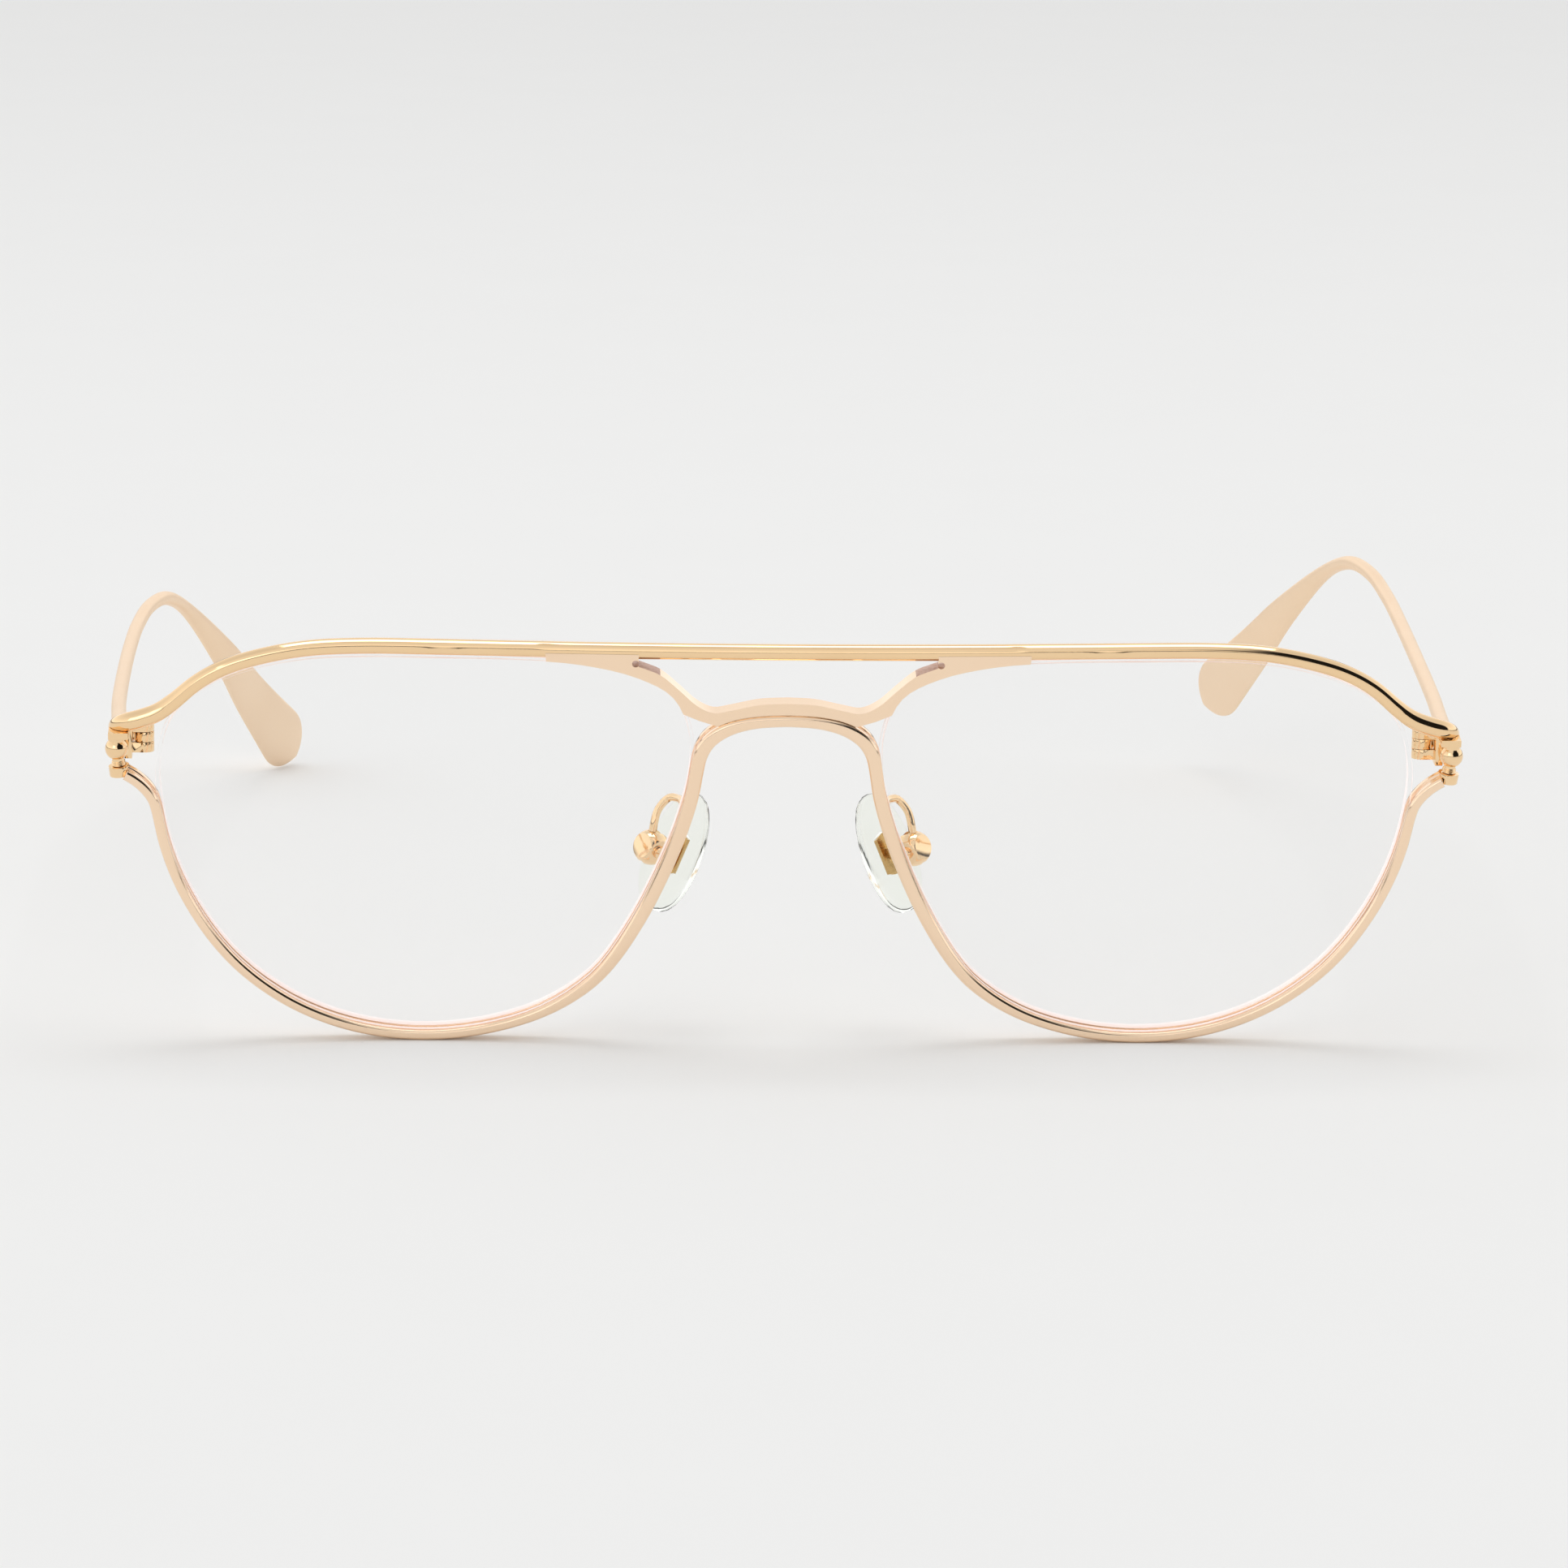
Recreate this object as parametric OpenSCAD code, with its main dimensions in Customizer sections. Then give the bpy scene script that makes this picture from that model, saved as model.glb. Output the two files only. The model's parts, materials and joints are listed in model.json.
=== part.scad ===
// Double-bridge wire eyeglasses: a round brow bar, a cut bridge plate, two grooved rim wires,
// a lower bridge wire, clear lenses, barrel hinges, wire temples with flat tips, and nose pads.
// Millimetres, +Z up. The glasses stand on their rims and one temple tip, as on a table.
// The front faces -Y and the temples run towards +Y. Shapes of the front are written as
// [across, up, depth] in its own plane, which is then leaned forward by front_lean.

/* [Front] */
// Forward lean of the front's top edge, in degrees
front_lean = 9; // [6:0.5:12]
// Place along Y of the rims' lowest edge
front_y = -63.9; // [-66:0.05:-62]
// Radius of the brow bar along its straight part
bar_r = 0.86; // [0.7:0.01:1]
// Radius of the brow bar at its ends
bar_end_r = 1.0; // [0.8:0.01:1.1]
// Depth of the rim wire, front to back
rim_depth = 2.5; // [2.2:0.1:3]
// Width of the rim wire along the bottom and the outer side
rim_w = 1.0; // [0.8:0.05:1.2]
// Extra width of the rim wire beside the nose
rim_nose_w = 0.35; // [0:0.05:0.5]

/* [Lenses] */
// Radius of the front surface of each lens
lens_front_r = 420; // [300:10:800]
// Thickness of each lens
lens_t = 2.0; // [1.8:0.1:2.4]
// Height of the bevel that sits in the groove
bevel_h = 0.4; // [0.3:0.05:0.5]
// Gap between a lens and the metal round it
lens_gap = 0.06; // [0.05:0.01:0.1]

/* [Hinges] */
// Distance of each hinge axis from the middle
hinge_x = 65.1; // [65:0.05:65.2]
// Distance of the hinge axis behind the rims' lowest edge
hinge_back = 0.3; // [0.2:0.05:0.4]
// Radius of the hinge barrel
barrel_r = 1.02; // [0.9:0.02:1.04]
// Radius of the hinge screw's shank
hinge_pin_r = 0.55; // [0.45:0.05:0.6]
// Height of one hinge knuckle
knuckle_h = 1.0; // [0.9:0.02:1.05]
// Height of the hinge's lowest knuckle above the table
barrel_z = 30.2; // [30.1:0.05:30.4]

/* [Temples] */
// Radius of the temple wire
temple_r = 0.8; // [0.7:0.05:0.9]
// Upward set of the temple on the +X side, in degrees
right_temple_lift = 2.9; // [2.4:0.1:3.2]
// Outward set of the temple on the +X side, in degrees
right_temple_spread = 0.9; // [0:0.1:1]
// Width of the flat tip
tip_w = 7.6; // [6:0.1:8.4]
// Thickness of the flat tip
tip_t = 1.5; // [1.2:0.1:2]
// Turn of the flat tip about its own wire, in degrees
tip_twist = -32; // [-45:1:0]

/* [Nose pads] */
// Distance of each pad's centre from the middle
pad_x = 11; // [10.5:0.1:11.5]
// Distance of a pad's centre behind the rims' lowest edge
pad_back = 6; // [5.5:0.1:6.5]
// Height of a pad's centre above the table
pad_z = 18.6; // [18:0.1:19]
// Angle at which the pads spread towards their lower ends
pad_flare = 22; // [18:1:26]
// Angle at which the pads open towards the back
pad_splay = 40; // [36:1:44]
// Radius of the wire that carries a pad
pad_arm_r = 0.42; // [0.35:0.01:0.5]

/* [Hidden] */
$fn = 48;

gold = [0.93, 0.78, 0.62];
clear = [0.85, 0.9, 0.9, 0.35];
soft_clear = [0.92, 0.93, 0.88, 0.5];
// Thin space left where one soldered piece is cut to fit another
fit = 0.012;

// Depth of the middle of the bar, the bevels and the rim wires behind the front faces
mid_depth = rim_depth / 2;
// Thickness of the bevel round each lens
bevel_t = 0.5;
// Rounding of the rim wire's edges
rim_edge = 0.18;
// Depth and half width of the groove for the bevel
groove_h = bevel_h + lens_gap;
groove_half = bevel_t / 2 + 0.05;

// ---- Smooth curves ----

function unit(v) = v / norm(v);
// Entry i of a list, held at the ends
function held(p, i) = p[max(0, min(len(p) - 1, i))];
// Entry i of a list whose ends are joined
function looped(p, i) = p[(i + len(p)) % len(p)];
// Entry i of a list, carried straight on past its ends
function carried(p, i) =
    i < 0 ? 2 * p[0] - p[1] : i > len(p) - 1 ? 2 * p[len(p) - 1] - p[len(p) - 2] : p[i];
function knot(a, b) = sqrt(max(0.0001, norm(b - a)));
function between(a, b, ta, tb, t) = ((tb - t) * a + (t - ta) * b) / (tb - ta);
// Point at the fraction s of the way from b to c on the smooth curve through a, b, c and d
function curve_at(a, b, c, d, s) =
    let (tb = knot(a, b), tc = tb + knot(b, c), td = tc + knot(c, d), t = tb + s * (tc - tb),
         ab = between(a, b, 0, tb, t), bc = between(b, c, tb, tc, t), cd = between(c, d, tc, td, t))
    between(between(ab, bc, 0, tc, t), between(bc, cd, tb, td, t), tb, tc, t);
// Smooth curve through the points p, with n steps between two points
function open_curve(p, n) = concat(
    [for (i = [0 : len(p) - 2]) for (k = [0 : n - 1])
        curve_at(carried(p, i - 1), p[i], p[i + 1], carried(p, i + 2), k / n)],
    [p[len(p) - 1]]);
function closed_curve(p, n) = [
    for (i = [0 : len(p) - 1]) for (k = [0 : n - 1])
        curve_at(looped(p, i - 1), p[i], looped(p, i + 1), looped(p, i + 2), k / n)];
// The same points on the other side of the middle, in reverse order
function other_side(p) = [for (i = [len(p) - 1 : -1 : 0])
    [for (k = [0 : len(p[i]) - 1]) k == 0 ? -p[i][k] : p[i][k]]];
// Place in the model of a point of the front
function front(p) = [
    p[0],
    front_y + p[2] * cos(front_lean) - p[1] * sin(front_lean),
    p[1] * cos(front_lean) + p[2] * sin(front_lean)];

// ---- Swept wires ----

// Ring round the point c, square to the heading h. The first axis of the profile lies along towards.
function ring(c, h, towards, profile) =
    let (s = unit(towards - (towards * h) * h), l = cross(h, s))
    [for (q = profile) c + q[0] * s + q[1] * l];
// Heading of a path of model points at its point i
function heading(p, i) = unit(held(p, i + 1) - held(p, i - 1));
function oval(a, b, n) = [for (k = [0 : n - 1]) [a * cos(360 * k / n), b * sin(360 * k / n)]];
// Solid skin over a list of rings
// Skin over a row of rings. The faces of one end are given where a groove makes it hollow
module skin(rings, end = []) {
    m = len(rings[0]);
    last = len(rings) - 1;
    sides = [for (i = [0 : last - 1]) for (k = [0 : m - 1])
        [i * m + k, (i + 1) * m + k, (i + 1) * m + (k + 1) % m, i * m + (k + 1) % m]];
    near = len(end) > 0 ? end : [[for (k = [0 : m - 1]) k]];
    far = [for (f = near) [for (k = [len(f) - 1 : -1 : 0]) last * m + f[k]]];
    polyhedron(points = [for (r = rings) for (q = r) q], faces = concat(near, far, sides), convexity = 12);
}

// ---- Placing ----

// Draws in the plane of the front: x across, y up, and z forward of the front faces
module in_front() translate([0, front_y, 0]) rotate([90 + front_lean, 0, 0]) children();
// Slab of the front between two depths
module slab(near, far) translate([0, 0, -far]) linear_extrude(far - near) children();
module side(left) mirror([left ? 1 : 0, 0, 0]) children();
// Draws at the nose pad on the +X side: x away from the nose, y towards the back, z along the pad
module at_pad() translate([pad_x, front_y + pad_back, pad_z]) rotate([0, -pad_flare, 0])
    rotate([0, 0, -pad_splay]) children();
// Box between two opposite corners
module block(a, b) translate(a) cube(b - a);

// ---- Lens outline, which the rims, the plate and the bar follow ----

lens_points = [
    [36, 41.65], [28, 41.5], [21, 41.0], [15.2, 39.6], [11.6, 37.5], [10, 33.8], [9.8, 29.8],
    [10.9, 24.6], [13.1, 18.6], [16.2, 12.2], [19.7, 7.2], [24.8, 3.6], [31, 1.6], [37.5, 1.05],
    [44, 2.0], [50, 4.5], [55.2, 8.5], [59, 13.5], [61.7, 19.2], [63.1, 25], [63.3, 30.4],
    [61.9, 35], [58.6, 38.05], [54, 40.15], [48.5, 41.35], [42.5, 41.7]];
lens_steps = 4;
lens_edge = closed_curve(lens_points, lens_steps);
// Direction away from the lens at point i of its edge
function edge_out(i) =
    let (d = unit(looped(lens_edge, i + 1) - looped(lens_edge, i - 1))) [d[1], -d[0]];
function edge_grown(d) = [for (i = [0 : len(lens_edge) - 1]) lens_edge[i] + d * edge_out(i)];

// ---- Brow bar: [across, up, depth, radius, depth of the lens groove] ----

bar_half = [
    [10, 42.27, mid_depth, bar_r, 0], [20.5, 42.36, mid_depth, bar_r, 0],
    [24.5, 42.41, mid_depth, bar_r, 0.34], [30, 42.49, mid_depth, bar_r, 0.5],
    [37, 42.6, mid_depth, bar_r, 0.5], [43, 42.64, mid_depth, bar_r, 0.5],
    [48.8, 42.3, mid_depth, bar_r, 0.5], [54.3, 41.1, mid_depth, bar_r, 0.5],
    [57.4, 39.88, mid_depth, bar_r, 0.5], [59.7, 38.42, mid_depth, 0.88, 0.5],
    [61.6, 36.72, mid_depth, 0.92, 0.5], [63.4, 35.4, mid_depth, 0.97, 0.1],
    [65.2, 34.68, mid_depth, bar_end_r, 0], [66.35, 34.32, 1.35, bar_end_r, 0],
    [67.0, 34.0, 1.7, bar_end_r, 0], [67.42, 33.6, 2.25, bar_end_r, 0],
    [67.6, 33.15, 3.0, bar_end_r, 0], [67.6, 32.65, 4.1, bar_end_r, 0]];
bar_track = open_curve(concat(other_side(bar_half), [[0, 42.24, mid_depth, bar_r, 0]], bar_half), 3);
bar_path = [for (p = bar_track) front(p)];
bar_last = len(bar_path) - 1;
bar_end = bar_path[bar_last];
// Round section with a groove on its lens side
function bar_section(r, g) = concat(
    [[sqrt(r * r - groove_half * groove_half) - g, -groove_half],
     [sqrt(r * r - groove_half * groove_half) - g, groove_half]],
    [for (a = [32, for (b = [54 : 21 : 306]) b, 328]) [r * cos(a), r * sin(a)]]);
function bar_heading(i) = i == 0 ? [0, -1, 0] : i == bar_last ? [0, 1, 0] : heading(bar_path, i);
module bar(first, last, grow, groove)
    skin([for (i = [first : last])
        let (p = bar_track[i], down = [0, sin(front_lean), -cos(front_lean)])
        ring(bar_path[i], bar_heading(i), down, bar_section(p[3] + grow, groove ? max(0, p[4]) : 0))]);

// ---- Rim wires and lower bridge: [across, up, width, depth of the lens groove] ----

function rim_width(across) = rim_w + rim_nose_w * max(0, min(1, (27 - across) / 12));
rim_track = [for (i = [6 * lens_steps : 2 : 19 * lens_steps - 2])
    let (w = rim_width(lens_edge[i][0]), c = lens_edge[i] + (lens_gap + w / 2) * edge_out(i))
    [c[0], c[1], w, groove_h]];
corner_track = [[0, 35.15, 1.1, 0], [3.2, 34.95, 1.15, 0], [5.9, 34.25, 1.3, 0], [7.8, 33.0, 1.42, 0],
    [8.7, 31.5, 1.42, 0.15]];
lug_track = [[63.9, 25.9, rim_w, 0.2], [64.5, 27.0, rim_w, 0], [65.25, 27.85, rim_w, 0],
    [66.05, 28.5, rim_w, 0], [66.8, 28.95, rim_w, 0]];
// Angle at which the rim wire meets its lug
lug_slope = 24;
wire_steps = 3;
// The groove runs on as a shallow line where the wire holds no lens
least_groove = 0.15;
// The two sides of the groove lie this much lower than the wire's corners
worn = 0.02;
half_wire = open_curve(concat(corner_track, rim_track, lug_track), wire_steps);
wire_last = len(half_wire) - 1;
// The lower bridge meets the rim at this ring
joint_ring = 4 * wire_steps;
function wire_out(i) =
    i == 0 ? [0, -1] : i == wire_last ? [sin(lug_slope), -cos(lug_slope)]
    : let (d = half_wire[i + 1] - half_wire[i - 1]) unit([d[1], -d[0]]);
// Flat section with a groove on its lens side: [away from the lens, depth]
function wire_section(w, g) =
    let (h = w / 2, c = rim_edge, d = rim_depth, m = mid_depth)
    [[c - h, 0], [h - c, 0], [h, c], [h, d - c], [h - c, d], [c - h, d], [-h, d - c],
     [worn - h, m + groove_half + 0.12], [g - h, m + groove_half], [g - h, m - groove_half],
     [worn - h, m - groove_half - 0.12], [-h, c]];
function wire_ring(i) =
    let (p = half_wire[i], n = wire_out(i))
    [for (q = wire_section(p[2], max(least_groove, p[3]))) front([p[0] + q[0] * n[0], p[1] + q[0] * n[1], q[1]])];
// End of the wire in faces that fan out from the two corners opposite the groove
wire_end = concat([for (k = [4 : 7]) [3, k, k + 1]], [[2, 3, 8, 9]],
    [for (k = [9 : 11]) [2, k, (k + 1) % 12]], [[2, 0, 1]]);
function flipped(r) = [for (q = r) [-q[0], q[1], q[2]]];

// ---- Pieces of the front ----

module brow_bar() color(gold) bar(0, bar_last, 0, true);

module lower_bridge() color(gold) skin(concat(
    [for (i = [joint_ring : -1 : 1]) flipped(wire_ring(i))],
    [for (i = [0 : joint_ring]) wire_ring(i)]), wire_end);

module rim(left) color(gold) side(left) skin([for (i = [joint_ring : wire_last]) wire_ring(i)],
    wire_end);

// Upper edge of the plate, from the bar round the end of the window to the middle
window_edge = open_curve([[14.6, 40.72], [12.9, 40.0], [10.9, 38.3], [9.2, 36.75], [7.5, 35.95],
    [5.6, 36.25], [2.8, 36.85], [0, 37.0]], 4);
plate_end = 24.5;
// Lower edge of the plate, from its far end along the lens and the lower bridge to the middle
plate_under = concat(
    [for (i = [2 * lens_steps - 2 : 4 * lens_steps + 2]) lens_edge[i] + lens_gap * edge_out(i)],
    [[8.9, 35.1]],
    [for (i = [2 * wire_steps + 1 : -1 : 0]) let (p = half_wire[i], n = wire_out(i))
        [p[0] - n[0] * p[2] / 2, p[1] - n[1] * p[2] / 2]]);
plate_half = concat([[plate_end, 42.4], [15.1, 42.4], [15.1, 40.9]], window_edge);
module bridge_plate() color(gold) difference() {
    in_front() slab(0.4, 2.3) difference() {
        polygon(concat(plate_half, other_side([for (i = [0 : len(window_edge) - 2]) window_edge[i]]),
            [[-15.1, 40.9], [-15.1, 42.4], [-plate_end, 42.4]],
            [for (q = plate_under) [-q[0], q[1]]],
            [for (i = [len(plate_under) - 2 : -1 : 0]) plate_under[i]]));
        for (s = [-1, 1]) translate([s * 15.4, 41.2]) circle(0.36, $fn = 24);
    }
    bar(len(bar_half) * 3 - 12, len(bar_half) * 3 + 12, fit, false);
    for (s = [false, true]) side(s) in_front() slab(mid_depth - groove_half, mid_depth + groove_half)
        polygon(edge_grown(groove_h));
}

module lens(left) color(clear) side(left) in_front() {
    intersection() {
        slab(-0.5, 5) polygon(lens_edge);
        difference() {
            translate([36.6, 21.3, -lens_front_r - 0.05]) sphere(lens_front_r, $fn = 200);
            translate([36.6, 21.3, -lens_front_r - 0.05 - lens_t]) sphere(lens_front_r, $fn = 200);
        }
    }
    slab(mid_depth - bevel_t / 2, mid_depth + bevel_t / 2) polygon(edge_grown(bevel_h));
}

// ---- Rim lug, closing screw and ball nut, stacked up the front ----

ball_r = 1.18;
ball_at = [67.65, 31.46];
neck_top = 32.75;
// Angle at which the closing screw leans, and the distance from the ball's middle down to the lug's
screw_tilt = 6;
lug_drop = 2.32;
lug_h = 1.0;
lug_r = 1.05;
screw_r = 0.6;
// Draws along the closing screw, from the middle of the ball
module on_screw() in_front() translate([ball_at[0], ball_at[1], -mid_depth])
    rotate([0, 0, -screw_tilt]) rotate([-90, 0, 0]) children();

module rim_lug(left) color(gold) side(left) difference() {
    on_screw() translate([0, 0, -lug_drop - lug_h / 2]) cylinder(r = lug_r, h = lug_h);
    on_screw() translate([0, 0, -5]) cylinder(r = screw_r + 0.03, h = 5);
    in_front() translate([half_wire[wire_last][0], half_wire[wire_last][1], 0]) rotate([0, 0, lug_slope])
        block([-3, -3, -4], [0, 3, 2]);
}

module closing_screw(left) color(gold) side(left) on_screw() difference() {
    rotate_extrude() polygon([[0, -2.8], [screw_r, -2.8], [screw_r, -1.8], [0.72, -1.72],
        [screw_r, -1.63], [0.72, -1.54], [screw_r, -1.45], [0.72, -1.36], [screw_r, -1.27],
        [screw_r, 0.5], [0.45, 0.6], [0, 0.6]]);
    block([-2, -0.1, -3], [2, 0.1, -2.5]);
}

module ball_nut(left) color(gold) side(left) difference() {
    in_front() translate([ball_at[0], ball_at[1], -mid_depth]) rotate([-90, 0, 0]) {
        sphere(ball_r);
        cylinder(r = 0.8, h = neck_top - ball_at[1]);
    }
    bar(bar_last - 9, bar_last, fit, false);
    on_screw() translate([0, 0, -2]) cylinder(r = screw_r + 0.03, h = 2.65);
}

// ---- Hinges ----

// Top of the whole barrel, and height of its knuckle number n with the thin gaps between
barrel_gap = 0.05;
function knuckle_z(n) = barrel_z + n * (knuckle_h + barrel_gap);
axis_y = front_y + hinge_back;
leaf_in = 66.2;
leaf_out = 66.95;
module at_hinge() translate([hinge_x, axis_y, 0]) children();
module knuckle(n, back) at_hinge() translate([0, 0, knuckle_z(n)]) {
    cylinder(r = barrel_r, h = knuckle_h);
    mirror([0, back ? 1 : 0, 0]) block([0, -0.98, 0], [leaf_out - hinge_x, -0.42, knuckle_h]);
}

module endpiece(left) color(gold) side(left) difference() {
    union() {
        in_front() slab(0.25, 4.0) translate([66.45, neck_top]) square([2.0, 0.7]);
        translate([bar_end[0], bar_end[1], bar_end[2]]) rotate([-90, 0, 0])
            cylinder(r = 0.9, h = front_y + 0.2 - bar_end[1]);
        block([leaf_in, front_y - 2.4, 29.95], [leaf_out, front_y - 0.12, 33.3]);
        knuckle(0, false);
        knuckle(2, false);
    }
    bar(bar_last - 18, bar_last, fit, false);
    at_hinge() cylinder(r = hinge_pin_r + 0.01, h = 100);
}

module hinge_screw(left) color(gold) side(left) at_hinge() difference() {
    translate([0, 0, barrel_z - 0.1]) {
        cylinder(r = hinge_pin_r, h = 3 * knuckle_h + 0.3);
        translate([0, 0, 3 * knuckle_h + 2 * barrel_gap + 0.1]) rotate_extrude()
            polygon([[0, 0], [0.9, 0], [0.9, 0.2], [0.7, 0.36], [0, 0.36]]);
    }
    translate([0, 0, knuckle_z(3) + 0.17]) rotate([0, 0, 25]) block([-2, -0.12, 0], [2, 0.12, 1]);
}

module temple_hinge(left) color(gold) side(left) difference() {
    union() {
        block([leaf_in, axis_y + 0.42, 29.95], [leaf_out + 0.3, axis_y + 5.2, 33.1]);
        knuckle(1, true);
    }
    temple_wire(left, fit, 12);
    at_hinge() cylinder(r = hinge_pin_r + 0.05, h = 100);
    translate([leaf_in - 1, axis_y + 5.2, 29.95]) rotate([0, 90, 0]) rounding_cut(1.2);
}
// Corner waste outside a quarter round
module rounding_cut(r) difference() {
    translate([-r, -r, 0]) cube([2 * r, 2 * r, 4]);
    translate([-r, -r, -1]) cylinder(r = r, h = 6);
}

// ---- Temples: [across, back from the rims' lowest edge, up, half thickness, half width] ----

temple_z = 32.6;
temple_line = [
    [67.8, 0.3, temple_z, temple_r, temple_r], [67.95, 5, 31.95, temple_r, temple_r],
    [68.4, 13, 31.1, temple_r, temple_r], [69.1, 25, 30.0, temple_r, temple_r],
    [70.0, 50, 28.2, temple_r, temple_r], [70.4, 70, 27.2, temple_r, temple_r],
    [70.3, 82, 27.0, temple_r, temple_r], [69.5, 92, 27.2, temple_r, 0.81],
    [68.0, 100, 26.6, temple_r, 0.83], [66.0, 108, 23.6, temple_r, 0.9],
    [62.2, 117.4, 15.95, tip_t / 2, tip_w / 4], [59.7, 123.9, 9.75, tip_t / 2, 0.72 * tip_w / 2],
    [56.3, 129.0, 3.25, tip_t / 2, tip_w / 2]];
// Sideways place of the flat part against the wire, as a share of the width that it gains
tip_offset = 0.34;
temple_track = open_curve(temple_line, 6);
temple_last = len(temple_track) - 1;
function to_model(p) = [p[0], p[1] + front_y, p[2]];
temple_path = [for (p = temple_track) to_model(p)];
temple_end_heading = unit(temple_path[temple_last] - temple_path[temple_last - 1]);
// Turn that the wire has reached at its point i
function turned(i) = tip_twist * max(0, min(1, (temple_track[i][1] - 96) / 16));
// Oval section, set aside from the wire and turned by the angle a
function tip_section(thick, wide, aside, a) = [for (q = oval(thick, wide, 14))
    let (w = q[1] - aside) [q[0] * cos(a) - w * sin(a), q[0] * sin(a) + w * cos(a)]];
function aside(half_width) = tip_offset * (half_width - temple_r);
function temple_ring(i, grow) =
    let (p = temple_track[i], h = i == 0 ? [0, 1, 0] : heading(temple_path, i))
    ring(temple_path[i], h, [1, 0, 0], tip_section(p[3] + grow, p[4] + grow, aside(p[4]), turned(i)));
// Rounded end of the tip, at the angle a round it
function tip_ring(a) =
    let (c = temple_path[temple_last] + temple_end_heading * tip_w / 2 * sin(a),
         thick = tip_t / 2 * (0.45 + 0.55 * cos(a)))
    ring(c, temple_end_heading, [1, 0, 0],
        tip_section(thick, tip_w / 2 * cos(a), aside(tip_w / 2), tip_twist));
module temple_wire(left, grow, count)
    translate([67.8, front_y + 0.3, temple_z])
        rotate([left ? 0 : right_temple_lift, 0, left ? 0 : -right_temple_spread])
            translate([-67.8, -front_y - 0.3, -temple_z])
                skin(concat([for (i = [0 : min(count, temple_last)]) temple_ring(i, grow)],
                    count < temple_last ? [] : [for (a = [14 : 14 : 84]) tip_ring(a)]));
module temple(left) color(gold) side(left) temple_wire(left, 0, 1000);

// ---- Nose pads ----

// Distance of the pad screw from the middle of the pad
box_x = 3.5;
pad_half = [1.3, 3.9, 6.5];
module pad_shape(grow)
    skin([for (a = [-84 : 12 : 84])
        let (across = pow(cos(a), 0.85), t = sin(a))
        [for (q = oval(pad_half[0] * pow(cos(a), 0.6), pad_half[1] * across * (1 - 0.08 * t), 20))
            [q[0] + grow, q[1], pad_half[2] * t]]]);
module insert_shape(grow) {
    intersection() {
        rotate([0, 90, 0]) cylinder(r = 2.3 + grow, h = 0.5 + 2 * grow, center = true);
        cube([3, 2.6 + 2 * grow, 9], center = true);
    }
    block([0, -0.4 - grow, -0.6 - grow], [box_x, 0.4 + grow, 0.6 + grow]);
}
module nose_pad(left) color(soft_clear) side(left) at_pad() difference() {
    pad_shape(0);
    insert_shape(0.02);
}

module pad_insert(left) color(gold) side(left) at_pad() difference() {
    union() {
        insert_shape(0);
        translate([box_x, 0, 0]) rotate([90, 0, 0]) cylinder(r = 0.85, h = 0.8, center = true);
    }
    translate([box_x, 0, 0]) rotate([90, 0, 0]) cylinder(r = 0.43, h = 5, center = true);
}

module pad_box(left) color(gold) side(left) at_pad() translate([box_x, 0, 0]) difference() {
    intersection() {
        sphere(1.85);
        block([-1.1, -1.35, -1.75], [1.35, 1.35, 1.75]);
    }
    block([-3, -0.45, -3], [0.95, 0.45, 3]);
    rotate([90, 0, 0]) cylinder(r = 0.39, h = 5, center = true);
}

module pad_screw(left) color(gold) side(left) at_pad() translate([box_x, 0, 0]) difference() {
    rotate([90, 0, 0]) translate([0, 0, -1.3]) {
        cylinder(r = 0.38, h = 2.8);
        translate([0, 0, 2.66]) cylinder(r = 0.68, h = 0.35);
    }
    block([-1, -2, -0.09], [1, -1.5, 0.09]);
}

// Where the arm leaves the back of the rim, and how it runs to the box
arm_root = lens_edge[7 * lens_steps] + 0.72 * edge_out(7 * lens_steps);
arm_line = open_curve([
    front([arm_root[0], arm_root[1], rim_depth - 0.005]),
    front([arm_root[0] + 0.1, arm_root[1] + 0.3, rim_depth + 1.4]),
    [10.75, front_y + 2.0, 25.1], [11.7, front_y + 3.3, 24.9], [12.8, front_y + 3.6, 23.6],
    [13.25, front_y + 3.4, 22.0], [13.38, front_y + 3.55, 20.9]], 4);
module pad_arm(left) color(gold) side(left) difference() {
    skin([for (i = [0 : len(arm_line) - 1])
        ring(arm_line[i], i == 0 ? [0, cos(front_lean), sin(front_lean)] : heading(arm_line, i),
            [1, 0.2, 0.1], oval(pad_arm_r, pad_arm_r, 10))]);
    at_pad() translate([box_x, 0, 0]) sphere(1.86);
}

// ---- Nodes ----

brow_bar();
bridge_plate();
lower_bridge();
rim(true);  // rim_left
rim(false);  // rim_right
lens(true);  // lens_left
lens(false);  // lens_right
rim_lug(true);  // rim_lug_left
rim_lug(false);  // rim_lug_right
closing_screw(true);  // closing_screw_left
closing_screw(false);  // closing_screw_right
ball_nut(true);  // ball_nut_left
ball_nut(false);  // ball_nut_right
endpiece(true);  // endpiece_left
endpiece(false);  // endpiece_right
hinge_screw(true);  // hinge_screw_left
hinge_screw(false);  // hinge_screw_right
temple_hinge(true);  // temple_hinge_left
temple_hinge(false);  // temple_hinge_right
temple(true);  // temple_left
temple(false);  // temple_right
pad_arm(true);  // pad_arm_left
pad_arm(false);  // pad_arm_right
pad_box(true);  // pad_box_left
pad_box(false);  // pad_box_right
pad_screw(true);  // pad_screw_left
pad_screw(false);  // pad_screw_right
pad_insert(true);  // pad_insert_left
pad_insert(false);  // pad_insert_right
nose_pad(true);  // nose_pad_left
nose_pad(false);  // nose_pad_right
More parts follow.
